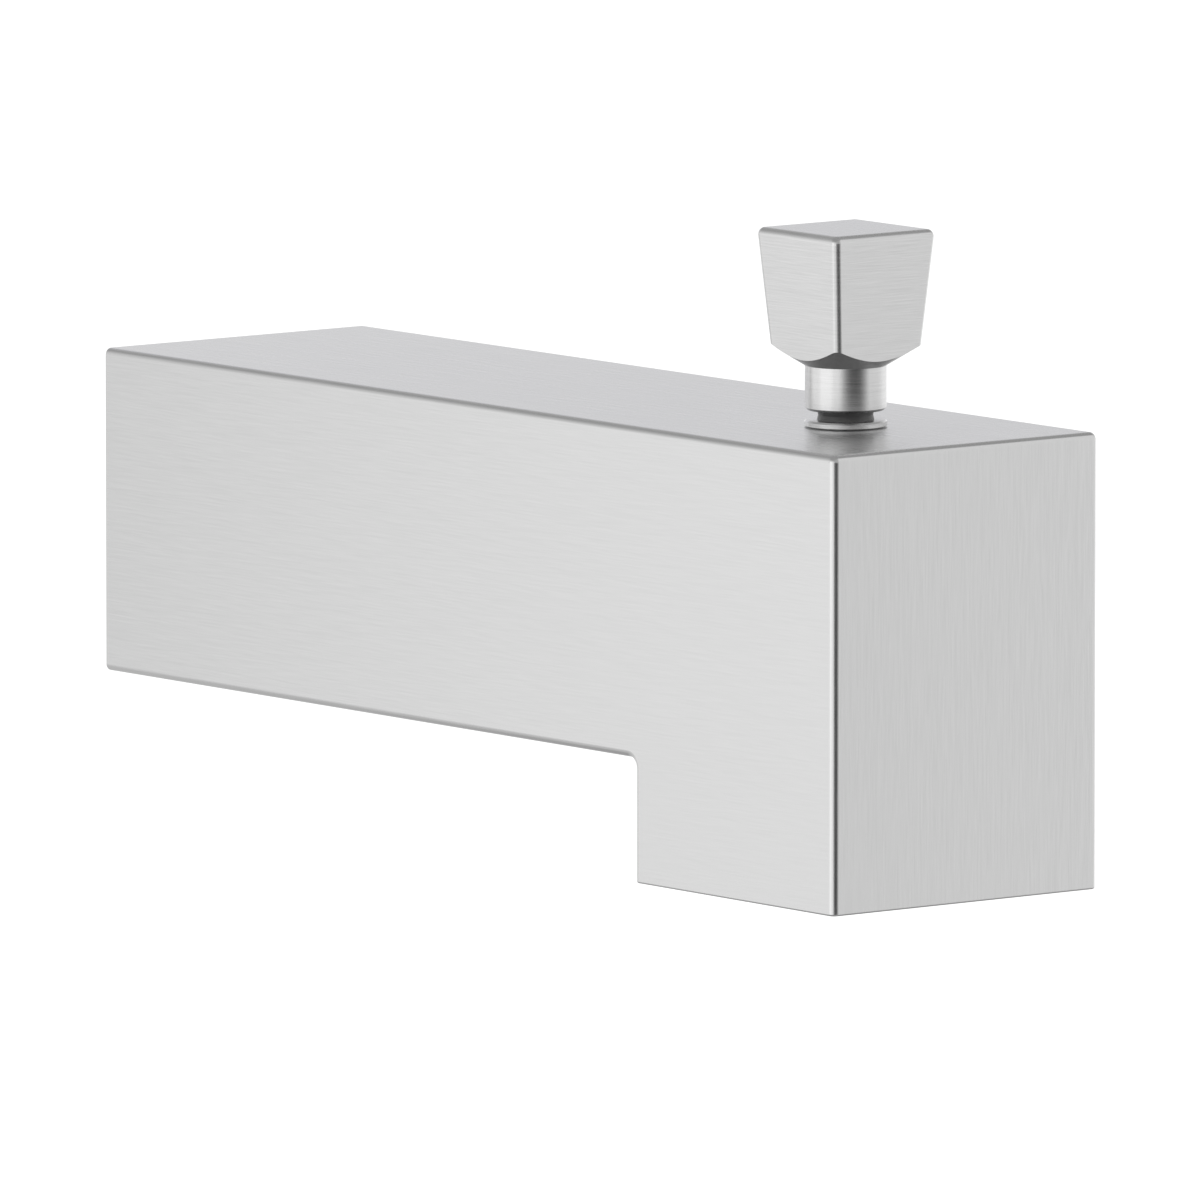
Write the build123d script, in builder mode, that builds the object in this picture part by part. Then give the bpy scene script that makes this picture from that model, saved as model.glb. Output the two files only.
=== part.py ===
"""Square bath spout with a pull-up diverter, in millimetres.

The wall plane is y = 0 and the spout reaches out from it along -Y. The origin is the
centre of the inlet thread at the wall plane, +X runs across the spout and +Z is up.
The diverter is modelled down, which sends the water to the bath.
"""
import os

from build123d import *

# Body casting: an L-shaped shell, cored from the back and from under the nose
body_width = 50.8
body_length = 180.88
body_height = 50.25
nose_length = 48.2
nose_height = 69.12
inlet_depth = 25.1
wall = 3.0
bulkhead = 4.0
edge_radius = 1.1
mouth_radius = 0.3
notch_radius = 1.6
core_radius = 2.0
mouth_chamfer = 0.4

# Inlet tube: a brass waterway screwed into a boss on the bulkhead
thread_diameter = 18.4
thread_length = 16.0
drill_point_angle = 59.0
port_diameter = 14.0
hex_across_flats = 27.0
hex_length = 20.0
hex_chamfer = 1.2
tube_rim = 1.0
collar_width = 4.0
collar_length = 3.0
gasket_thickness = 1.5
boss_wall = 5.0
boss_length = 6.0
screw_clearance = 0.05

# Seat seal: a rubber ring set into the front end of the tube
seal_width = 3.0
seal_depth = 3.0
seal_proud = 0.25
seal_clearance = 0.05

# Gate and its rails
gate_thickness = 3.0
gate_margin = 2.0
gate_gap = 0.3
gate_corner = 1.5
open_margin = 1.0
guide_clearance = 0.3
rail_thickness = 2.5
rail_lip = 2.5
rail_lip_thickness = 2.2
rail_overrun = 2.0
hook_wall = 1.4
hook_lip = 2.5
hook_floor = 2.5
hook_play = 0.5
slot_clearance = 0.2

# Stem and its seal, a square-cut rubber ring
stem_setback = 29.05
stem_diameter = 6.0
stem_neck_diameter = 4.0
stem_head_length = 3.0
stem_clearance = 0.08
spigot_diameter = 5.0
spigot_length = 9.0
spigot_play = 0.5
ring_section = 1.5
ring_clearance = 0.05
groove_inset = 1.0

# Bushing: its flange is the ring that shows on the top face
bushing_wall = 0.95
flange_lip = 0.7
flange_height = 1.1
flange_chamfer = 0.25
stop_gap = 0.3
hole_clearance = 0.1
pad_height = 1.5
pad_margin = 1.0
washer_thickness = 1.0
washer_margin = 0.75
nut_wall = 2.45
nut_height = 5.0
nut_chamfer = 0.8

# Bumper: a waisted rubber collar under the knob, which lands on the bushing
bumper_wall = 1.3
bumper_height = 1.5
bumper_waist = 0.15
bumper_clearance = 0.05

# Knob: a turned neck and cone under a tapered square head
neck_diameter = 12.33
neck_height = 6.72
neck_chamfer = 0.4
cone_angle = 31.0
knob_height = 27.4
head_width = 19.62
head_taper = 4.8
head_radius = 1.1

# Heights and reaches that several pieces share
body_top = inlet_depth
body_bottom = body_top - body_height
nose_bottom = body_top - nose_height
roof = body_top - wall
nose_back = body_length - nose_length
bulkhead_front = nose_back + wall
bulkhead_back = bulkhead_front - bulkhead
stem_reach = body_length - stem_setback

# Round sizes of the waterway, from the port outwards
port_radius = port_diameter / 2
seal_radius = port_radius + seal_width
tube_radius = seal_radius + tube_rim
collar_radius = tube_radius + collar_width
boss_radius = tube_radius + boss_wall

# Round sizes of the stem's guide, from the stem outwards
stem_radius = stem_diameter / 2
bore_radius = stem_radius + stem_clearance
ring_inside = stem_radius + ring_clearance
ring_outside = ring_inside + ring_section
groove_radius = ring_outside + ring_clearance
groove_width = ring_section + 2 * ring_clearance
shank_radius = groove_radius + bushing_wall
flange_radius = shank_radius + flange_lip
nut_radius = shank_radius + nut_wall
washer_radius = nut_radius + washer_margin
pad_radius = washer_radius + pad_margin

# The gate's places: it covers the seal when lifted, and clears the port at rest
gate_width = 2 * (seal_radius + gate_margin)
gate_height = 2 * seal_radius
travel = port_radius + gate_height / 2 + open_margin
gate_top = gate_height / 2 - travel
gate_bottom = gate_top - gate_height
hook_top = tube_radius - travel
hook_half_width = stem_radius + slot_clearance + hook_wall
gate_back = stem_reach - hook_half_width
gate_front = gate_back + gate_thickness
hook_front = stem_reach + hook_half_width
head_top = hook_top - hook_lip
head_bottom = head_top - stem_head_length
hook_bottom = head_bottom - hook_play - hook_floor
seal_face = gate_back - gate_gap
tube_front = seal_face - seal_proud

# The bushing's and the knob's places
bushing_end = tube_radius + stop_gap
flange_top = body_top + flange_height
nut_top = roof - pad_height - washer_thickness
nut_bottom = nut_top - nut_height
groove_bottom = nut_bottom + groove_inset
groove_top = groove_bottom + groove_width
knob_bottom = flange_top + bumper_height
knob_top = knob_bottom + knob_height

inlet_axis = Axis.Y
stem_axis = Axis((0, -stem_reach, 0), (0, 0, 1))
stem_plane = Plane.XZ.offset(stem_reach)


def on_stem(height):
    """A horizontal plane at a height, centred on the stem's axis."""
    return Plane.XY.offset(height).move(Location((0, -stem_reach, 0)))


# Spout body
with BuildPart() as spout_body:
    with BuildSketch(Plane.YZ):
        with BuildLine():
            Polyline(
                (0, body_top),
                (-body_length, body_top),
                (-body_length, nose_bottom),
                (-nose_back, nose_bottom),
                (-nose_back, body_bottom),
                (0, body_bottom),
                close=True,
            )
        make_face()
    extrude(amount=body_width / 2, both=True)
    # The inner corner is rounded first, and its two tangent seams stay out of the outer rounds.
    # The rim that meets the wall stays sharp, and the edge round the mouth nearly so.
    notch = (0, -nose_back, body_bottom)
    fillet(spout_body.edges().filter_by(Axis.X).sort_by_distance(notch)[0], radius=notch_radius)
    seams = spout_body.edges().filter_by(Axis.X).sort_by_distance(notch)[:2]
    rim = spout_body.faces().sort_by(Axis.Y)[-1].edges()
    mouth = spout_body.faces().sort_by(Axis.Z)[0].edges()
    fillet(spout_body.edges() - seams - rim - mouth, radius=edge_radius)
    fillet(spout_body.faces().sort_by(Axis.Z)[0].edges(), radius=mouth_radius)
    # Core of the rear part, open at the wall
    with BuildSketch(Plane.XZ):
        with Locations((0, (body_top + body_bottom) / 2)):
            RectangleRounded(body_width - 2 * wall, body_height - 2 * wall, core_radius)
    extrude(amount=bulkhead_back, mode=Mode.SUBTRACT)
    # Core of the nose, open underneath
    with BuildSketch(Plane.XY.offset(nose_bottom)):
        with Locations((0, -(bulkhead_front + body_length - wall) / 2)):
            RectangleRounded(body_width - 2 * wall, body_length - wall - bulkhead_front, core_radius)
    extrude(amount=nose_height - wall, mode=Mode.SUBTRACT)
    chamfer(spout_body.faces().sort_by(Axis.Z)[0].inner_wires().edges(), length=mouth_chamfer)
    chamfer(spout_body.faces().sort_by(Axis.Y)[-1].inner_wires().edges(), length=mouth_chamfer)
    # Tapped boss for the inlet tube
    with BuildSketch(Plane.XZ.offset(bulkhead_front)):
        Circle(boss_radius)
    extrude(amount=-(bulkhead + boss_length))
    with BuildSketch(Plane.XZ.offset(bulkhead_back - boss_length)):
        Circle(tube_radius + screw_clearance)
    extrude(amount=bulkhead + boss_length, mode=Mode.SUBTRACT)
    # Rails that hold the gate against the seal
    with BuildSketch(Plane.XY.offset(gate_bottom - rail_overrun)):
        rail_inside = gate_width / 2 + guide_clearance
        lip_back = gate_front + guide_clearance
        lip_front = lip_back + rail_lip_thickness
        with Locations((rail_inside, -bulkhead_front + bulkhead / 2)):
            Rectangle(
                rail_thickness,
                lip_front - bulkhead_front + bulkhead / 2,
                align=(Align.MIN, Align.MAX),
            )
        with Locations((rail_inside, -lip_back)):
            Rectangle(rail_lip, rail_lip_thickness, align=(Align.MAX, Align.MAX))
        mirror(about=Plane.YZ)
    extrude(amount=roof + wall / 2 - gate_bottom + rail_overrun)
    # Pad and hole for the bushing
    with BuildSketch(on_stem(roof + wall / 2)):
        Circle(pad_radius)
    extrude(amount=-(pad_height + wall / 2))
    with BuildSketch(on_stem(body_top)):
        Circle(shank_radius + hole_clearance)
    extrude(amount=-(wall + pad_height), mode=Mode.SUBTRACT)

# Inlet tube
with BuildPart() as inlet_tube:
    with BuildSketch(Plane.XZ):
        RegularPolygon(hex_across_flats / 2, 6, major_radius=False)
    extrude(amount=hex_length)
    # Turned chamfer on the hexagon's corners, at the wall
    with BuildSketch(Plane.YZ):
        with BuildLine():
            flat_radius = hex_across_flats / 2
            crest_radius = flat_radius + 2 * hex_chamfer
            Polyline(
                (0, 0),
                (0, flat_radius),
                (-hex_chamfer, crest_radius),
                (-hex_length, crest_radius),
                (-hex_length, 0),
                close=True,
            )
        make_face()
    revolve(axis=inlet_axis, mode=Mode.INTERSECT)
    with BuildSketch(Plane.XZ):
        Circle(tube_radius)
    extrude(amount=tube_front)
    collar_front = bulkhead_back - boss_length - gasket_thickness
    with BuildSketch(Plane.XZ.offset(collar_front)):
        Circle(collar_radius)
    extrude(amount=-collar_length)
    # Threaded mouth, waterway and pocket for the seal
    with BuildSketch(Plane.YZ):
        with BuildLine():
            thread_radius = thread_diameter / 2
            thread_end = Vector(-thread_length, thread_radius)
            drill_point = PolarLine(
                thread_end,
                thread_radius - port_radius,
                angle=180 + drill_point_angle,
                length_mode=LengthMode.VERTICAL,
            )
            Polyline(
                drill_point @ 1,
                (seal_depth - tube_front, port_radius),
                (seal_depth - tube_front, seal_radius + seal_clearance),
                (-tube_front, seal_radius + seal_clearance),
                (-tube_front, 0),
                (0, 0),
                (0, thread_radius),
                thread_end,
            )
        make_face()
    revolve(axis=inlet_axis, mode=Mode.SUBTRACT)

# Gasket between the tube's collar and the boss
with BuildPart() as inlet_gasket:
    with BuildSketch(Plane.XZ.offset(collar_front)):
        Circle(collar_radius)
        Circle(tube_radius + screw_clearance, mode=Mode.SUBTRACT)
    extrude(amount=gasket_thickness)

# Seat seal
with BuildPart() as seat_seal:
    with BuildSketch(Plane.XZ.offset(tube_front - seal_depth)):
        Circle(seal_radius)
        Circle(port_radius, mode=Mode.SUBTRACT)
    extrude(amount=seal_depth + seal_proud)

# Bushing
with BuildPart() as stem_bushing:
    with BuildSketch(stem_plane):
        with BuildLine():
            Polyline(
                (bore_radius, bushing_end),
                (bore_radius, groove_bottom),
                (groove_radius, groove_bottom),
                (groove_radius, groove_top),
                (bore_radius, groove_top),
                (bore_radius, flange_top),
                (flange_radius - flange_chamfer, flange_top),
                (flange_radius, flange_top - flange_chamfer),
                (flange_radius, body_top + flange_chamfer),
                (flange_radius - flange_chamfer, body_top),
                (shank_radius, body_top),
                (shank_radius, bushing_end),
                close=True,
            )
        make_face()
    revolve(axis=stem_axis)

# Washer and nut that clamp the bushing
with BuildPart() as bushing_washer:
    with BuildSketch(on_stem(roof - pad_height)):
        Circle(washer_radius)
        Circle(shank_radius + hole_clearance, mode=Mode.SUBTRACT)
    extrude(amount=-washer_thickness)

with BuildPart() as bushing_nut:
    with BuildSketch(on_stem(nut_top)):
        RegularPolygon(nut_radius, 6, major_radius=False)
    extrude(amount=-nut_height)
    # Turned chamfer on the nut's lower corners
    with BuildSketch(stem_plane):
        with BuildLine():
            nut_crest = nut_radius + 2 * nut_chamfer
            Polyline(
                (0, nut_top),
                (nut_crest, nut_top),
                (nut_crest, nut_bottom + nut_chamfer),
                (nut_radius, nut_bottom),
                (0, nut_bottom),
                close=True,
            )
        make_face()
    revolve(axis=stem_axis, mode=Mode.INTERSECT)
    with BuildSketch(on_stem(nut_top)):
        Circle(shank_radius + screw_clearance)
    extrude(amount=-nut_height, mode=Mode.SUBTRACT)

# Rubber ring round the stem
with BuildPart() as stem_seal:
    with BuildSketch(on_stem(groove_bottom + ring_clearance)):
        Circle(ring_outside)
        Circle(ring_inside, mode=Mode.SUBTRACT)
    extrude(amount=ring_section)

# Stem, with a spigot in the knob and a head in the gate's hook
with BuildPart() as diverter_stem:
    with BuildSketch(stem_plane):
        with BuildLine():
            neck_radius = stem_neck_diameter / 2
            spigot_radius = spigot_diameter / 2
            Polyline(
                (0, head_bottom),
                (stem_radius, head_bottom),
                (stem_radius, head_top),
                (neck_radius, head_top),
                (neck_radius, hook_top),
                (stem_radius, hook_top),
                (stem_radius, knob_bottom),
                (spigot_radius, knob_bottom),
                (spigot_radius, knob_bottom + spigot_length),
                (0, knob_bottom + spigot_length),
                close=True,
            )
        make_face()
    revolve(axis=stem_axis)

# Bumper
with BuildPart() as stem_bumper:
    with BuildSketch(stem_plane):
        with BuildLine():
            bumper_inside = stem_radius + bumper_clearance
            bumper_outside = stem_radius + bumper_wall
            Polyline(
                (bumper_inside, flange_top),
                (bumper_outside, flange_top),
                (bumper_outside - bumper_waist, (knob_bottom + flange_top) / 2),
                (bumper_outside, knob_bottom),
                (bumper_inside, knob_bottom),
                close=True,
            )
        make_face()
    revolve(axis=stem_axis)

# Gate, with a hook that the stem's head hangs it from
with BuildPart() as diverter_gate:
    with BuildSketch(Plane.XZ.offset(gate_back)):
        with Locations((0, gate_bottom)):
            Rectangle(gate_width, gate_height, align=(Align.CENTER, Align.MIN))
    extrude(amount=gate_thickness)
    fillet(diverter_gate.edges().filter_by(Axis.Y), radius=gate_corner)
    with BuildSketch(Plane.XY.offset(hook_top)):
        with Locations((0, -gate_back)):
            Rectangle(2 * hook_half_width, hook_front - gate_back, align=(Align.CENTER, Align.MAX))
    extrude(amount=hook_bottom - hook_top)
    # Keyhole from the front: a narrow slot for the stem's neck over a wide one for its head
    for slot_radius, slot_bottom, slot_top in (
        (stem_neck_diameter / 2 + slot_clearance, head_top, hook_top),
        (stem_radius + slot_clearance, head_bottom - hook_play, head_top),
    ):
        with BuildSketch(on_stem(slot_bottom)):
            Circle(slot_radius)
            Rectangle(2 * slot_radius, hook_half_width, align=(Align.CENTER, Align.MAX))
        extrude(amount=slot_top - slot_bottom, mode=Mode.SUBTRACT)

# Knob
with BuildPart() as diverter_knob:
    # Two tapered profiles, crossed, make the square head
    cone_bottom = knob_bottom + neck_height
    head_middle = (cone_bottom + knob_top) / 2
    with BuildSketch(stem_plane):
        with Locations((0, head_middle)):
            Trapezoid(head_width, knob_top - cone_bottom, 90 - head_taper, rotation=180)
    extrude(amount=head_width / 2, both=True)
    with BuildSketch(Plane.YZ):
        with Locations((-stem_reach, head_middle)):
            Trapezoid(head_width, knob_top - cone_bottom, 90 - head_taper, rotation=180)
    extrude(amount=head_width / 2, both=True, mode=Mode.INTERSECT)
    head_foot = diverter_knob.faces().sort_by(Axis.Z)[0]
    fillet(diverter_knob.edges() - head_foot.edges(), radius=head_radius)
    # The cone that turns the square head down to the neck
    with BuildSketch(stem_plane):
        with BuildLine():
            neck_outside = neck_diameter / 2
            cone = PolarLine(
                (neck_outside, cone_bottom),
                head_width - neck_outside,
                angle=cone_angle,
                length_mode=LengthMode.HORIZONTAL,
            )
            Polyline(
                cone @ 1,
                (head_width, knob_top),
                (0, knob_top),
                (0, cone_bottom),
                (neck_outside, cone_bottom),
            )
        make_face()
    revolve(axis=stem_axis, mode=Mode.INTERSECT)
    with BuildSketch(on_stem(knob_bottom)):
        Circle(neck_outside)
    extrude(amount=neck_height)
    chamfer(diverter_knob.faces().sort_by(Axis.Z)[0].edges(), length=neck_chamfer)
    with BuildSketch(on_stem(knob_bottom)):
        Circle(spigot_diameter / 2 + screw_clearance)
    extrude(amount=spigot_length + spigot_play, mode=Mode.SUBTRACT)

# One STEP file for each piece
pieces = {
    "spout_body": spout_body,
    "inlet_tube": inlet_tube,
    "inlet_gasket": inlet_gasket,
    "seat_seal": seat_seal,
    "stem_bushing": stem_bushing,
    "bushing_washer": bushing_washer,
    "bushing_nut": bushing_nut,
    "stem_seal": stem_seal,
    "diverter_stem": diverter_stem,
    "stem_bumper": stem_bumper,
    "diverter_gate": diverter_gate,
    "diverter_knob": diverter_knob,
}
os.makedirs("parts", exist_ok=True)
for name, piece in pieces.items():
    piece.part.label = name
    export_step(piece.part, f"parts/{name}.step")
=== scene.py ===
"""Looks of a square bath spout with a pull-up diverter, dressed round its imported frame.

Metres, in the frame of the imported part: the wall plane is y = 0, the spout reaches along -Y, +Z is up.
"""
import math

import bmesh
import bpy
from mathutils import Matrix, Vector


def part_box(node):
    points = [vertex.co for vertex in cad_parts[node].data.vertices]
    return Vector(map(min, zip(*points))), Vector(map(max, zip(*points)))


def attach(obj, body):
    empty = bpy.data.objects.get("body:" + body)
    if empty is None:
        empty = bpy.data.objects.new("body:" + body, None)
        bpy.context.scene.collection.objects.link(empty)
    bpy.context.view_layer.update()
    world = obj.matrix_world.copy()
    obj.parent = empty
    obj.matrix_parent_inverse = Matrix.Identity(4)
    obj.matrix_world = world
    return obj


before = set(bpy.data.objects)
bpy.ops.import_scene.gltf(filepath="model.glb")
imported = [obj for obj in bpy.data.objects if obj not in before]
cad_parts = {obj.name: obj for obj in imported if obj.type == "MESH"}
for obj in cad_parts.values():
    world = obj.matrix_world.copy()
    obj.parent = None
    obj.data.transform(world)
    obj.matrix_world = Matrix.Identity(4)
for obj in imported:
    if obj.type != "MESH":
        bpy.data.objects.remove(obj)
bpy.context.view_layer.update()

MM = 0.001
PER_MM = 1 / MM
ALONG_Y = 1
ALONG_Z = 2
AXES = ((1.0, 0.0, 0.0), (0.0, 1.0, 0.0), (0.0, 0.0, 1.0))
WHITE = (1.0, 1.0, 1.0, 1.0)

# Camera, fitted to the photograph's edges
CAMERA_AZIMUTH = math.radians(-37.8808)
CAMERA_ELEVATION = math.radians(7.08352)
CAMERA_DISTANCE = 3.696996
CAMERA_AIM = Vector((1.009, -90.44, -7.284)) * MM
CAMERA_LENS = 727.80
CAMERA_SENSOR = 36.0
CAMERA_CLIP_START = 0.1
CAMERA_CLIP_END = 100.0

# Places that the looks need, from the frame and two of the body's lengths
BODY_LOW, BODY_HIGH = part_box("spout_body")
STEM_LOW, STEM_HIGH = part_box("diverter_stem")
STEM_FOOT = ((STEM_LOW.x + STEM_HIGH.x) / 2, (STEM_LOW.y + STEM_HIGH.y) / 2, 0.0)
INLET = (0.0, 0.0, 0.0)
NOSE_LENGTH = 48.2 * MM
REACH_HEIGHT = 50.25 * MM
NOSE_BACK = BODY_LOW.y + NOSE_LENGTH
REACH_BOTTOM = BODY_HIGH.z - REACH_HEIGHT
# The change to the cast finish lies within the 3 mm walls, and just past the rims of both mouths
CAST_WALL = 2.8 * MM
RIM_DEPTH = 0.3 * MM

# Faces are told apart by how far their normal leans to the front or back, or up
FACING_FRONT = 0.5
FACING_UP = 0.8

# Noise: the range that most of it lies in, its roughness and its levels of detail
NOISE_LOW = 0.3
NOISE_HIGH = 0.7
NOISE_ROUGHNESS = 0.6
PLAIN_DETAIL = 2.0
FINE_DETAIL = 3.0
FINEST_DETAIL = 4.0

# Brushed nickel: width of a scratch, its length on each part, and how far it swings the tone
NICKEL = 0.74
GRAIN_WIDTH = 0.16 * MM
SIDE_GRAIN = 8.0 * MM
TOP_GRAIN = 13.0 * MM
FRONT_GRAIN = 6.0 * MM
KNOB_GRAIN = 7.0 * MM
SIDE_CONTRAST = 0.043
TOP_CONTRAST = 0.035
FRONT_CONTRAST = 0.06
KNOB_CONTRAST = 0.08
# Broader bands of scratches lie between the single ones
BAND_WIDTH = 0.8 * MM
BAND_STRETCH = 3.0
SCRATCH_SHARE = 0.84
BAND_SHARE = 0.16
# Roughness in the furrows, and what the ridges add to it
SIDE_ROUGHNESS = 0.16
KNOB_ROUGHNESS = 0.18
TOP_ROUGHNESS = 0.25
BODY_RIDGE_ROUGHNESS = 0.07
KNOB_RIDGE_ROUGHNESS = 0.06
BRUSHED_ANISOTROPY = 0.6
SCRATCH_RELIEF = 0.0024 * MM
# Painted shade on the faces of the knob and the ring that look down, such as under the knob's head: the
# tone darkens between these leans of the normal
UNDERSIDE_PAINTED_SHADE = 0.52
UNDERSIDE_SHADE_FULL = -0.5
UNDERSIDE_SHADE_START = -0.25

# Cast inside of the body, grey and matt
CAST_TONES = (0.416, 0.572)
CAST_ROUGHNESS = (0.52, 0.68)
CAST_METALLIC = 0.15
CAST_SKIN_CELLS = 2.5 * PER_MM
CAST_RELIEF = 0.12 * MM

# Turned brass and steel, with tool lines and faint stains
BRASS = (0.62, 0.47, 0.24)
BARE_BRASS = 0.8
STEEL = (0.50, 0.50, 0.51)
BARE_STEEL = 1.0
TOOL_LINE_LENGTH = 8.0 * MM
TOOL_LINE_TONES = (0.9, 1.1)
TOOL_LINE_RELIEF = 0.004 * MM
STAIN_CELLS = 0.16 * PER_MM
STAIN_TONES = (0.9, 1.05)
TURNED_ROUGHNESS = (0.24, 0.36)
TURNED_ANISOTROPY = 0.5

# Rubber, with a fine skin and soft clouds
RUBBER = (0.04, 0.04, 0.04)
RUBBER_TONES = (0.8, 1.4)
RUBBER_ROUGHNESS = (0.32, 0.46)
RUBBER_SPECULAR = 0.9
RUBBER_SKIN_CELLS = 6.0 * PER_MM
RUBBER_CLOUD_CELLS = 0.5 * PER_MM
RUBBER_RELIEF = 0.01 * MM

# Pressed fibre, with strands that cross
FIBRE = (0.28, 0.06, 0.04)
FIBRE_TONES = (0.75, 1.25)
FIBRE_ROUGHNESS = (0.9, 0.75)
STRAND_ALONG = 0.7 * PER_MM
STRAND_ACROSS = 5.0 * PER_MM
STRAND_LOW = 0.4
FIBRE_RELIEF = 0.03 * MM

# Moulded acetal, with flow marks along X
ACETAL = (0.72, 0.71, 0.67)
ACETAL_TONES = (0.95, 1.04)
ACETAL_ROUGHNESS = (0.32, 0.45)
FLOW_ALONG = 0.18 * PER_MM
FLOW_ACROSS = 0.42 * PER_MM
ACETAL_SKIN_CELLS = 3.0 * PER_MM
ACETAL_RELIEF = 0.006 * MM

# Screw threads, left as plain walls in the solids: radius at the foot and crest, start, length, pitch
THREAD_STEPS = 48
FADE_STEPS = THREAD_STEPS / 2
RIDGE_HALF_WIDTH = 0.42
CREST_ANGLE = math.radians(30)
INLET_THREAD = {
    "foot": 9.25 * MM,
    "crest": 8.7 * MM,
    "start": 0.8 * MM,
    "length": 14.6 * MM,
    "pitch": 1.814 * MM,
}
BUSHING_THREAD = {
    "foot": 5.5 * MM,
    "crest": 5.9 * MM,
    "start": 11.5 * MM,
    "length": 3.0 * MM,
    "pitch": 0.9 * MM,
}

# Floor: plain in the middle, growing to white further out
FLOOR_DROP = 0.25
FLOOR_SIZE = 8.0
FLOOR_COLOUR = (0.8, 0.8, 0.8, 1.0)
FLOOR_MIDDLE = 0.40
FLOOR_WHITE = 1.45
FLOOR_GLOW = (0.04, 0.72)
MIRRORED_WHITE = 1.10
MIRRORED_TONES = (0.66, 1.0)

# World: level for the camera and for matt surfaces, and for the metal from the horizon up
SKY_TO_CAMERA = 1.0
SKY_TO_MATT = 0.5
SKY_HORIZON = 1.0
SKY_OVERHEAD = 0.36
SKY_DIM_FROM = 0.70

# Cards and lamps stand round a middle, and two cards lie below
STUDIO_MIDDLE = Vector((0, -0.15, 0))
UNDER_CARDS_Y = -0.12


def add_node(tree, kind, inputs=None, **settings):
    """Adds a node. An input is a value, or an output socket to link."""
    node = tree.nodes.new(kind)
    for name, value in settings.items():
        setattr(node, name, value)
    for key, value in (inputs or {}).items():
        if isinstance(value, bpy.types.NodeSocket):
            tree.links.new(value, node.inputs[key])
        else:
            node.inputs[key].default_value = value
    return node


def maths(tree, operation, *values):
    """Output of a Math node."""
    return add_node(tree, "ShaderNodeMath", dict(enumerate(values)), operation=operation).outputs[0]


def vector_maths(tree, operation, *values):
    """Vector output of a Vector Math node."""
    return add_node(tree, "ShaderNodeVectorMath", dict(enumerate(values)), operation=operation).outputs[0]


def above(tree, value, limit):
    """Mask that is 1 where a value is over a limit."""
    return maths(tree, "GREATER_THAN", value, limit)


def below(tree, value, limit):
    """Mask that is 1 where a value is under a limit."""
    return maths(tree, "LESS_THAN", value, limit)


def all_of(tree, *masks):
    """Mask that is 1 where every mask is."""
    product = masks[0]
    for mask in masks[1:]:
        product = maths(tree, "MULTIPLY", product, mask)
    return product


def map_range(tree, value, low, high, to_low, to_high, smooth=False):
    """Value moved from one range to another, clamped."""
    inputs = {"Value": value, "From Min": low, "From Max": high, "To Min": to_low, "To Max": to_high}
    kind = "SMOOTHSTEP" if smooth else "LINEAR"
    return add_node(tree, "ShaderNodeMapRange", inputs, interpolation_type=kind).outputs["Result"]


def spread(tree, grain, low, high):
    """Noise, spread from a low to a high value."""
    return map_range(tree, grain, NOISE_LOW, NOISE_HIGH, low, high)


def noise(tree, place, cells, detail):
    """Grey noise, from 0 to 1, with a number of cells per metre for each axis."""
    scaled = vector_maths(tree, "MULTIPLY", place, cells)
    inputs = {"Vector": scaled, "Scale": 1.0, "Detail": detail, "Roughness": NOISE_ROUGHNESS}
    return add_node(tree, "ShaderNodeTexNoise", inputs).outputs["Fac"]


def even_noise(tree, place, cells, detail):
    """Grey noise with the same cells along every axis."""
    return noise(tree, place, (cells, cells, cells), detail)


def mix_values(tree, factor, low, high):
    """Number between two others."""
    inputs = {0: factor, 2: low, 3: high}
    return add_node(tree, "ShaderNodeMix", inputs, data_type="FLOAT").outputs[0]


def mix_vectors(tree, factor, low, high):
    """Vector between two others."""
    inputs = {0: factor, 4: low, 5: high}
    return add_node(tree, "ShaderNodeMix", inputs, data_type="VECTOR").outputs[1]


def grey(tree, value):
    """Colour with one value in all three channels."""
    inputs = {"Red": value, "Green": value, "Blue": value}
    return add_node(tree, "ShaderNodeCombineColor", inputs).outputs[0]


def tint(tree, colour, value):
    """A colour times a number."""
    return vector_maths(tree, "MULTIPLY", grey(tree, value), colour)


def new_material(name):
    """An empty node material, its tree and its output."""
    material = bpy.data.materials.new(name)
    material.use_nodes = True
    tree = material.node_tree
    tree.nodes.clear()
    return material, tree, add_node(tree, "ShaderNodeOutputMaterial")


def surface(tree, output, inputs):
    """Principled shader, linked to the output."""
    shader = add_node(tree, "ShaderNodeBsdfPrincipled", inputs)
    tree.links.new(shader.outputs[0], output.inputs["Surface"])


def bump(tree, height, distance):
    """Normal of a surface with small relief."""
    return add_node(tree, "ShaderNodeBump", {"Height": height, "Distance": distance}).outputs[0]


def object_place(tree):
    """Place on the object, in its own coordinates."""
    return add_node(tree, "ShaderNodeTexCoord").outputs["Object"]


def object_normal(tree):
    """Normal of the face, in the object's own coordinates."""
    return add_node(tree, "ShaderNodeTexCoord").outputs["Normal"]


def split(tree, vector):
    """The three parts of a vector."""
    return add_node(tree, "ShaderNodeSeparateXYZ", {0: vector}).outputs


def brushed_grain(tree, place, axis, length, turned=False):
    """Streak height from 0 to 1, with scratches along an axis or, if turned, round it."""
    scratches = (GRAIN_WIDTH, length, SCRATCH_SHARE)
    bands = (BAND_WIDTH, length * BAND_STRETCH, BAND_SHARE)
    layers = []
    for wide, long, share in (scratches, bands):
        along, across = (wide, long) if turned else (long, wide)
        cells = [1 / across] * 3
        cells[axis] = 1 / along
        layers.append(maths(tree, "MULTIPLY", noise(tree, place, cells, PLAIN_DETAIL), share))
    return maths(tree, "ADD", *layers)


def streaked(tree, streaks, contrast):
    """Tone of the nickel, lighter and darker by a share along the streaks."""
    swing = maths(tree, "MULTIPLY", spread(tree, streaks, -1.0, 1.0), contrast)
    return maths(tree, "MULTIPLY", maths(tree, "ADD", swing, 1.0), NICKEL)


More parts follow.
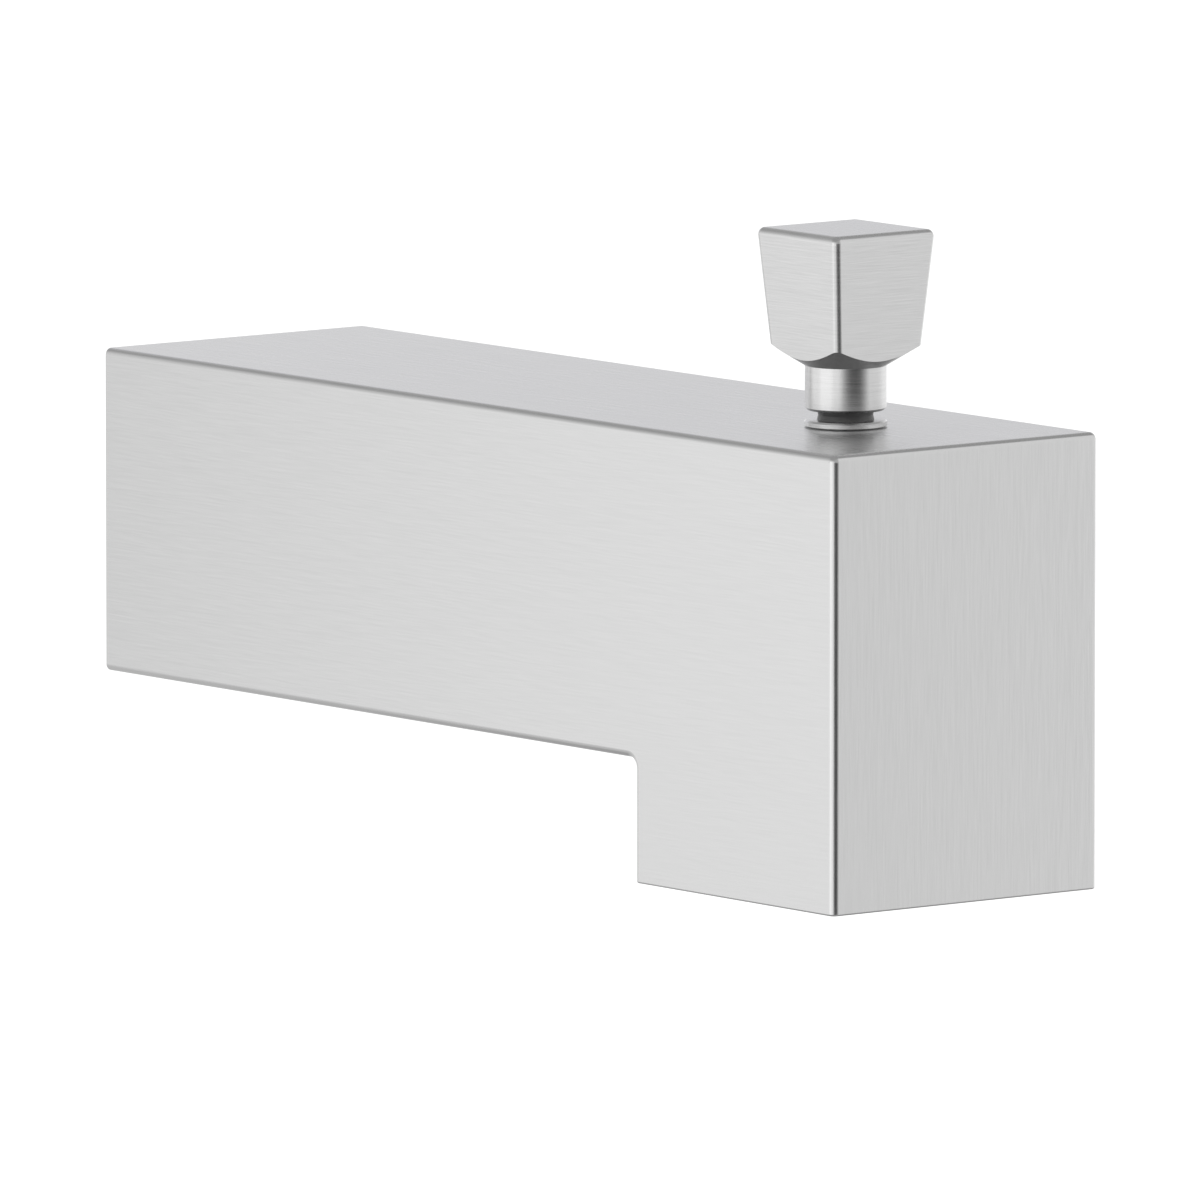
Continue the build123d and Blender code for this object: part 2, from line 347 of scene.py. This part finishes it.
def inside_casting(tree, place):
    """Mask of the cast inside: one wall in from every outer face and past the rims of both mouths."""
    x, y, z = split(tree, place)
    over_floor = above(tree, z, REACH_BOTTOM + CAST_WALL)
    in_nose = below(tree, y, NOSE_BACK - CAST_WALL)
    return all_of(
        tree,
        below(tree, maths(tree, "ABSOLUTE", x), BODY_HIGH.x - CAST_WALL),
        below(tree, z, BODY_HIGH.z - CAST_WALL),
        above(tree, y, BODY_LOW.y + CAST_WALL),
        maths(tree, "MAXIMUM", over_floor, in_nose),
        below(tree, y, BODY_HIGH.y - RIM_DEPTH),
        above(tree, z, BODY_LOW.z + RIM_DEPTH),
    )


def brushed_body():
    """Brushed nickel: lengthwise on the long faces, upright on the front, cast inside."""
    material, tree, output = new_material("brushed_nickel_body")
    place = object_place(tree)
    normal = object_normal(tree)
    lean = split(tree, normal)
    front = above(tree, maths(tree, "ABSOLUTE", lean[ALONG_Y]), FACING_FRONT)
    roof = above(tree, lean[ALONG_Z], FACING_UP)
    inside = inside_casting(tree, place)
    lengthwise = mix_values(
        tree,
        roof,
        brushed_grain(tree, place, ALONG_Y, SIDE_GRAIN),
        brushed_grain(tree, place, ALONG_Y, TOP_GRAIN),
    )
    streaks = mix_values(tree, front, lengthwise, brushed_grain(tree, place, ALONG_Z, FRONT_GRAIN))
    contrast = mix_values(tree, front, mix_values(tree, roof, SIDE_CONTRAST, TOP_CONTRAST), FRONT_CONTRAST)
    lines = mix_vectors(tree, front, AXES[ALONG_Y], AXES[ALONG_Z])
    cast = even_noise(tree, place, CAST_SKIN_CELLS, FINEST_DETAIL)
    cast_tone = spread(tree, cast, *CAST_TONES)
    cast_roughness = spread(tree, cast, *CAST_ROUGHNESS)
    furrows = mix_values(tree, roof, SIDE_ROUGHNESS, TOP_ROUGHNESS)
    ridges = spread(tree, streaks, 0.0, BODY_RIDGE_ROUGHNESS)
    scratches = maths(tree, "MULTIPLY", streaks, SCRATCH_RELIEF / CAST_RELIEF)
    surface(tree, output, {
        "Base Color": grey(tree, mix_values(tree, inside, streaked(tree, streaks, contrast), cast_tone)),
        "Metallic": mix_values(tree, inside, 1.0, CAST_METALLIC),
        "Roughness": mix_values(tree, inside, maths(tree, "ADD", furrows, ridges), cast_roughness),
        "Anisotropic": BRUSHED_ANISOTROPY,
        "Tangent": vector_maths(tree, "CROSS_PRODUCT", normal, lines),
        "Normal": bump(tree, mix_values(tree, inside, scratches, cast), CAST_RELIEF),
    })
    return material


def brushed_turned():
    """Brushed nickel with level lines round the stem: the knob and the bushing's ring."""
    material, tree, output = new_material("brushed_nickel_turned")
    place = object_place(tree)
    normal = object_normal(tree)
    lean_up = split(tree, normal)[ALONG_Z]
    level = above(tree, lean_up, FACING_UP)
    under = below(tree, lean_up, -FACING_UP)
    streaks = mix_values(
        tree,
        level,
        brushed_grain(tree, place, ALONG_Z, KNOB_GRAIN, turned=True),
        brushed_grain(tree, place, ALONG_Y, TOP_GRAIN),
    )
    # Lines go round the stem, also on faces that look straight down, and lengthwise on the top
    outward = mix_vectors(tree, under, normal, vector_maths(tree, "SUBTRACT", place, STEM_FOOT))
    around = vector_maths(tree, "CROSS_PRODUCT", AXES[ALONG_Z], outward)
    lines = mix_vectors(tree, level, around, AXES[ALONG_Y])
    # Painted shade: faces that look down are darkened to this share of the tone
    painted_underside_shade = map_range(tree, lean_up, UNDERSIDE_SHADE_FULL, UNDERSIDE_SHADE_START, UNDERSIDE_PAINTED_SHADE, 1.0)
    tone = maths(tree, "MULTIPLY", streaked(tree, streaks, KNOB_CONTRAST), painted_underside_shade)
    furrows = mix_values(tree, level, KNOB_ROUGHNESS, TOP_ROUGHNESS)
    ridges = spread(tree, streaks, 0.0, KNOB_RIDGE_ROUGHNESS)
    surface(tree, output, {
        "Base Color": grey(tree, tone),
        "Metallic": 1.0,
        "Roughness": maths(tree, "ADD", furrows, ridges),
        "Anisotropic": BRUSHED_ANISOTROPY,
        "Tangent": vector_maths(tree, "CROSS_PRODUCT", normal, lines),
        "Normal": bump(tree, streaks, SCRATCH_RELIEF),
    })
    return material


def turned_metal(name, colour, axis, centre, bare):
    """Machined metal with tool lines round an axis through a centre. Bare is the share free of oxide."""
    material, tree, output = new_material(name)
    place = object_place(tree)
    streaks = brushed_grain(tree, place, axis, TOOL_LINE_LENGTH, turned=True)
    stain = even_noise(tree, place, STAIN_CELLS, FINE_DETAIL)
    tool_lines = spread(tree, streaks, *TOOL_LINE_TONES)
    tone = maths(tree, "MULTIPLY", tool_lines, spread(tree, stain, *STAIN_TONES))
    outward = vector_maths(tree, "SUBTRACT", place, centre)
    lines = vector_maths(tree, "CROSS_PRODUCT", AXES[axis], outward)
    surface(tree, output, {
        "Base Color": tint(tree, colour, tone),
        "Metallic": bare,
        "Roughness": spread(tree, stain, *TURNED_ROUGHNESS),
        "Anisotropic": TURNED_ANISOTROPY,
        "Tangent": vector_maths(tree, "CROSS_PRODUCT", object_normal(tree), lines),
        "Normal": bump(tree, streaks, TOOL_LINE_RELIEF),
    })
    return material


def rubber():
    """Black moulded rubber with a fine satin skin."""
    material, tree, output = new_material("black_rubber")
    place = object_place(tree)
    skin = even_noise(tree, place, RUBBER_SKIN_CELLS, FINE_DETAIL)
    cloud = even_noise(tree, place, RUBBER_CLOUD_CELLS, PLAIN_DETAIL)
    surface(tree, output, {
        "Base Color": tint(tree, RUBBER, spread(tree, cloud, *RUBBER_TONES)),
        "Roughness": spread(tree, skin, *RUBBER_ROUGHNESS),
        "Specular IOR Level": RUBBER_SPECULAR,
        "Normal": bump(tree, skin, RUBBER_RELIEF),
    })
    return material


def fibre():
    """Pressed red fibre with short crossed strands."""
    material, tree, output = new_material("red_fibre")
    place = object_place(tree)
    along_x = noise(tree, place, (STRAND_ALONG, STRAND_ACROSS, STRAND_ACROSS), PLAIN_DETAIL)
    along_y = noise(tree, place, (STRAND_ACROSS, STRAND_ALONG, STRAND_ACROSS), PLAIN_DETAIL)
    strands = maths(tree, "MAXIMUM", along_x, along_y)
    surface(tree, output, {
        "Base Color": tint(tree, FIBRE, map_range(tree, strands, STRAND_LOW, NOISE_HIGH, *FIBRE_TONES)),
        "Roughness": map_range(tree, strands, STRAND_LOW, NOISE_HIGH, *FIBRE_ROUGHNESS),
        "Normal": bump(tree, strands, FIBRE_RELIEF),
    })
    return material


def acetal():
    """White moulded acetal, slightly waxy, with faint flow marks."""
    material, tree, output = new_material("white_acetal")
    place = object_place(tree)
    flow = noise(tree, place, (FLOW_ALONG, FLOW_ACROSS, FLOW_ACROSS), FINE_DETAIL)
    skin = even_noise(tree, place, ACETAL_SKIN_CELLS, PLAIN_DETAIL)
    surface(tree, output, {
        "Base Color": tint(tree, ACETAL, spread(tree, flow, *ACETAL_TONES)),
        "Roughness": spread(tree, skin, *ACETAL_ROUGHNESS),
        "Normal": bump(tree, skin, ACETAL_RELIEF),
    })
    return material


def add_object(name, data):
    """A new object in the scene."""
    made = bpy.data.objects.new(name, data)
    bpy.context.scene.collection.objects.link(made)
    return made


def aimed(place, facing):
    """Matrix that stands at a place, with its Z axis along a direction."""
    turn = facing.to_track_quat("Z", "Y").to_matrix().to_4x4()
    return Matrix.Translation(place) @ turn


def thread(name, place, slot, material, foot, crest, start, length, pitch):
    """A screw ridge along the local Z axis of a place, fading out at both ends."""
    shape = bmesh.new()
    steps = round(THREAD_STEPS * length / pitch)
    half_width = RIDGE_HALF_WIDTH * pitch
    rows = []
    for step in range(steps + 1):
        angle = math.tau * step / THREAD_STEPS
        around = Vector((math.cos(angle), math.sin(angle), 0))
        rise = start + length * step / steps
        tip = foot + (crest - foot) * min(1, step / FADE_STEPS, (steps - step) / FADE_STEPS)
        section = ((foot, rise - half_width), (tip, rise), (foot, rise + half_width))
        points = [place @ (around * radius + Vector((0, 0, z))) for radius, z in section]
        rows.append([shape.verts.new(point) for point in points])
    for low, high in zip(rows, rows[1:]):
        for side in range(2):
            shape.faces.new((low[side], high[side], high[side + 1], low[side + 1]))
    if crest < foot:
        bmesh.ops.reverse_faces(shape, faces=shape.faces)
    mesh = bpy.data.meshes.new(name)
    shape.to_mesh(mesh)
    shape.free()
    mesh.shade_smooth()
    mesh.set_sharp_from_angle(angle=CREST_ANGLE)
    mesh.materials.append(material)
    made = add_object(name, mesh)
    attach(made, "spout")


def dress_nodes():
    """Gives every node of the frame its material, and adds the screw threads."""
    turned_nickel = brushed_turned()
    brass_along = turned_metal("brass_tube", BRASS, ALONG_Y, INLET, BARE_BRASS)
    brass_upright = turned_metal("brass_nut", BRASS, ALONG_Z, STEM_FOOT, BARE_BRASS)
    steel = turned_metal("turned_steel", STEEL, ALONG_Z, STEM_FOOT, BARE_STEEL)
    black = rubber()
    red = fibre()
    looks = {
        "spout_body": brushed_body(),
        "stem_bushing": turned_nickel,
        "diverter_knob": turned_nickel,
        "inlet_tube": brass_along,
        "bushing_nut": brass_upright,
        "diverter_stem": steel,
        "stem_bumper": black,
        "stem_seal": black,
        "seat_seal": black,
        "inlet_gasket": red,
        "bushing_washer": red,
        "diverter_gate": acetal(),
    }
    for name, material in looks.items():
        for material_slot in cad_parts[name].material_slots:
            material_slot.material = material
    into_inlet = Matrix.Rotation(math.radians(90), 4, "X")
    thread("inlet_thread", into_inlet, "brass", brass_along, **INLET_THREAD)
    up_stem = Matrix.Translation(STEM_FOOT)
    thread("bushing_thread", up_stem, "brushed_nickel", turned_nickel, **BUSHING_THREAD)


def panel(name, centre, facing, width, height):
    """A flat rectangle that faces along a direction."""
    right = width / 2
    top = height / 2
    corners = [(-right, -top, 0), (right, -top, 0), (right, top, 0), (-right, top, 0)]
    mesh = bpy.data.meshes.new(name)
    mesh.from_pydata(corners, [], [(0, 1, 2, 3)])
    made = add_object(name, mesh)
    made.matrix_world = aimed(centre, Vector(facing))
    return made


def floor():
    """Pale floor, plain under the spout and lifted to white further out."""
    made = panel("floor", (0, 0, BODY_LOW.z - FLOOR_DROP), AXES[ALONG_Z], FLOOR_SIZE, FLOOR_SIZE)
    material, tree, output = new_material("floor")
    place = object_place(tree)
    away = add_node(tree, "ShaderNodeVectorMath", {0: place}, operation="LENGTH").outputs["Value"]
    rays = add_node(tree, "ShaderNodeLightPath").outputs
    glow_level = map_range(tree, away, FLOOR_MIDDLE, FLOOR_WHITE, *FLOOR_GLOW, smooth=True)
    lift = maths(tree, "MULTIPLY", rays["Is Camera Ray"], glow_level)
    matt = add_node(tree, "ShaderNodeBsdfDiffuse", {"Color": FLOOR_COLOUR}).outputs[0]
    glow = add_node(tree, "ShaderNodeEmission", {"Strength": lift}).outputs[0]
    lit = add_node(tree, "ShaderNodeAddShader", {0: matt, 1: glow}).outputs[0]
    # The metal shows the floor as an even tone that grows to white
    mirrored = maths(tree, "MAXIMUM", rays["Is Glossy Ray"], rays["Is Transmission Ray"])
    tone = map_range(tree, away, FLOOR_MIDDLE, MIRRORED_WHITE, *MIRRORED_TONES, smooth=True)
    image = add_node(tree, "ShaderNodeEmission", {"Strength": tone}).outputs[0]
    upper = add_node(tree, "ShaderNodeMixShader", {0: mirrored, 1: lit, 2: image}).outputs[0]
    # Clear from below, so that the underside can be seen
    lower = add_node(tree, "ShaderNodeNewGeometry").outputs["Backfacing"]
    clear = add_node(tree, "ShaderNodeBsdfTransparent").outputs[0]
    both = add_node(tree, "ShaderNodeMixShader", {0: lower, 1: upper, 2: clear}).outputs[0]
    tree.links.new(both, output.inputs["Surface"])
    made.data.materials.append(material)


def sky():
    """World: white to the camera, plain to matt surfaces, darker upwards to the metal."""
    world = bpy.data.worlds.new("studio")
    bpy.context.scene.world = world
    world.use_nodes = True
    tree = world.node_tree
    tree.nodes.clear()
    rays = add_node(tree, "ShaderNodeLightPath").outputs
    mirrored = maths(tree, "MAXIMUM", rays["Is Glossy Ray"], rays["Is Transmission Ray"])
    direction = add_node(tree, "ShaderNodeTexCoord").outputs["Generated"]
    height = split(tree, direction)[ALONG_Z]
    walls = map_range(tree, height, 0.0, SKY_DIM_FROM, SKY_HORIZON, SKY_OVERHEAD, smooth=True)
    level = mix_values(tree, mirrored, SKY_TO_MATT, walls)
    level = mix_values(tree, rays["Is Camera Ray"], level, SKY_TO_CAMERA)
    shade = add_node(tree, "ShaderNodeBackground", {"Color": WHITE, "Strength": level})
    tree.links.new(shade.outputs[0], add_node(tree, "ShaderNodeOutputWorld").inputs["Surface"])


def faded(tree, place, half, fade):
    """Mask along one axis that is 1 in the middle and fades to 0 at both ends."""
    from_middle = maths(tree, "ABSOLUTE", place)
    return map_range(tree, from_middle, half - fade, half, 1.0, 0.0, smooth=True)


def card(name, centre, facing, size, fade, level, colour=WHITE):
    """A studio card seen only in the metal, with edges that fade. Level is its brightness."""
    width, height = size
    fade_x, fade_y = fade
    made = panel(name, centre, facing, width, height)
    material, tree, output = new_material(name)
    x, y = split(tree, object_place(tree))[:2]
    across = faded(tree, x, width / 2, fade_x)
    upright = faded(tree, y, height / 2, fade_y)
    opaque = maths(tree, "MULTIPLY", across, upright)
    clear = add_node(tree, "ShaderNodeBsdfTransparent").outputs[0]
    glow = add_node(tree, "ShaderNodeEmission", {"Color": colour, "Strength": level}).outputs[0]
    both = add_node(tree, "ShaderNodeMixShader", {0: opaque, 1: clear, 2: glow}).outputs[0]
    tree.links.new(both, output.inputs["Surface"])
    made.data.materials.append(material)
    made.visible_camera = False
    made.visible_diffuse = False
    made.visible_shadow = False
    made.visible_volume_scatter = False


def lamp(name, target, away, size, energy):
    """A soft square lamp for the matt surfaces, aimed at a target."""
    data = bpy.data.lights.new(name, "AREA")
    data.shape = "SQUARE"
    data.size = size
    data.energy = energy
    holder = add_object(name, data)
    holder.matrix_world = aimed(target + away, away)
    holder.visible_camera = False
    holder.visible_glossy = False


def from_camera(turn, elevation=0.0):
    """Direction from the object, turned by an angle to the right of the camera."""
    azimuth = CAMERA_AZIMUTH + turn
    level = math.cos(elevation)
    return Vector((math.sin(azimuth) * level, -math.cos(azimuth) * level, math.sin(elevation)))


def card_by_camera(name, degrees_right, distance, rise, size, fade, level):
    """A card that looks at the spout from a place to the right of the camera."""
    way = from_camera(math.radians(degrees_right))
    centre = STUDIO_MIDDLE + way * distance + Vector((0, 0, rise))
    card(name, centre, -way, size, fade, level)


def card_below(name, drop, size, fade, level):
    """A card under the spout that looks up."""
    card(name, (0, UNDER_CARDS_Y, BODY_LOW.z - drop), AXES[ALONG_Z], (size, size), (fade, fade), level)


def cards():
    """Cards for the metal to mirror."""
    card_by_camera(
        "camera_veil",
        degrees_right=25.5,
        distance=0.6,
        rise=0.22,
        size=(1.45, 1.55),
        fade=(0.68, 0.3),
        level=0.45,
    )
    card_by_camera(
        "camera_flag",
        degrees_right=25.5,
        distance=0.59,
        rise=-0.225,
        size=(1.14, 0.75),
        fade=(0.53, 0.15),
        level=0.07,
    )
    card_by_camera(
        "right_scrim",
        degrees_right=85,
        distance=0.8,
        rise=0.2,
        size=(1.6, 1.7),
        fade=(0.6, 0.3),
        level=0.815,
    )
    card_by_camera(
        "left_softbox",
        degrees_right=-58,
        distance=0.9,
        rise=-0.1,
        size=(0.9, 1.1),
        fade=(0.25, 0.25),
        level=1.18,
    )
    card(
        "left_scrim",
        centre=(-0.32, 0.62, 0.05),
        facing=(1, 0, 0),
        size=(0.9, 0.9),
        fade=(0.45, 0.3),
        level=0.67,
    )
    card(
        "back_scrim",
        centre=(0.5, 0.6, 0.28),
        facing=(0, -1, 0),
        size=(1.6, 0.38),
        fade=(0.3, 0.19),
        level=0.78,
        colour=(0.95, 0.95, 1.0, 1.0),
    )
    card_below("under_card", drop=0.2, size=0.9, fade=0.35, level=0.25)
    card_below("wide_under_card", drop=0.22, size=2.1, fade=0.6, level=0.60)


def lamps():
    """Soft lamps for the matt surfaces, from above and from behind."""
    lamp("overhead", STUDIO_MIDDLE, away=Vector((-0.35, -0.45, 0.9)), size=1.0, energy=9.0)
    lamp("behind", Vector(INLET), away=Vector((0.12, 0.9, 0.12)), size=0.6, energy=9.0)


def camera():
    """Camera at the photograph's place."""
    data = bpy.data.cameras.new("camera")
    data.lens = CAMERA_LENS
    data.sensor_width = CAMERA_SENSOR
    data.clip_start = CAMERA_CLIP_START
    data.clip_end = CAMERA_CLIP_END
    holder = add_object("camera", data)
    back = from_camera(0.0, CAMERA_ELEVATION)
    holder.matrix_world = aimed(CAMERA_AIM + back * CAMERA_DISTANCE, back)
    bpy.context.scene.camera = holder


dress_nodes()
floor()
sky()
cards()
lamps()
camera()
bpy.context.scene.view_settings.view_transform = "Standard"
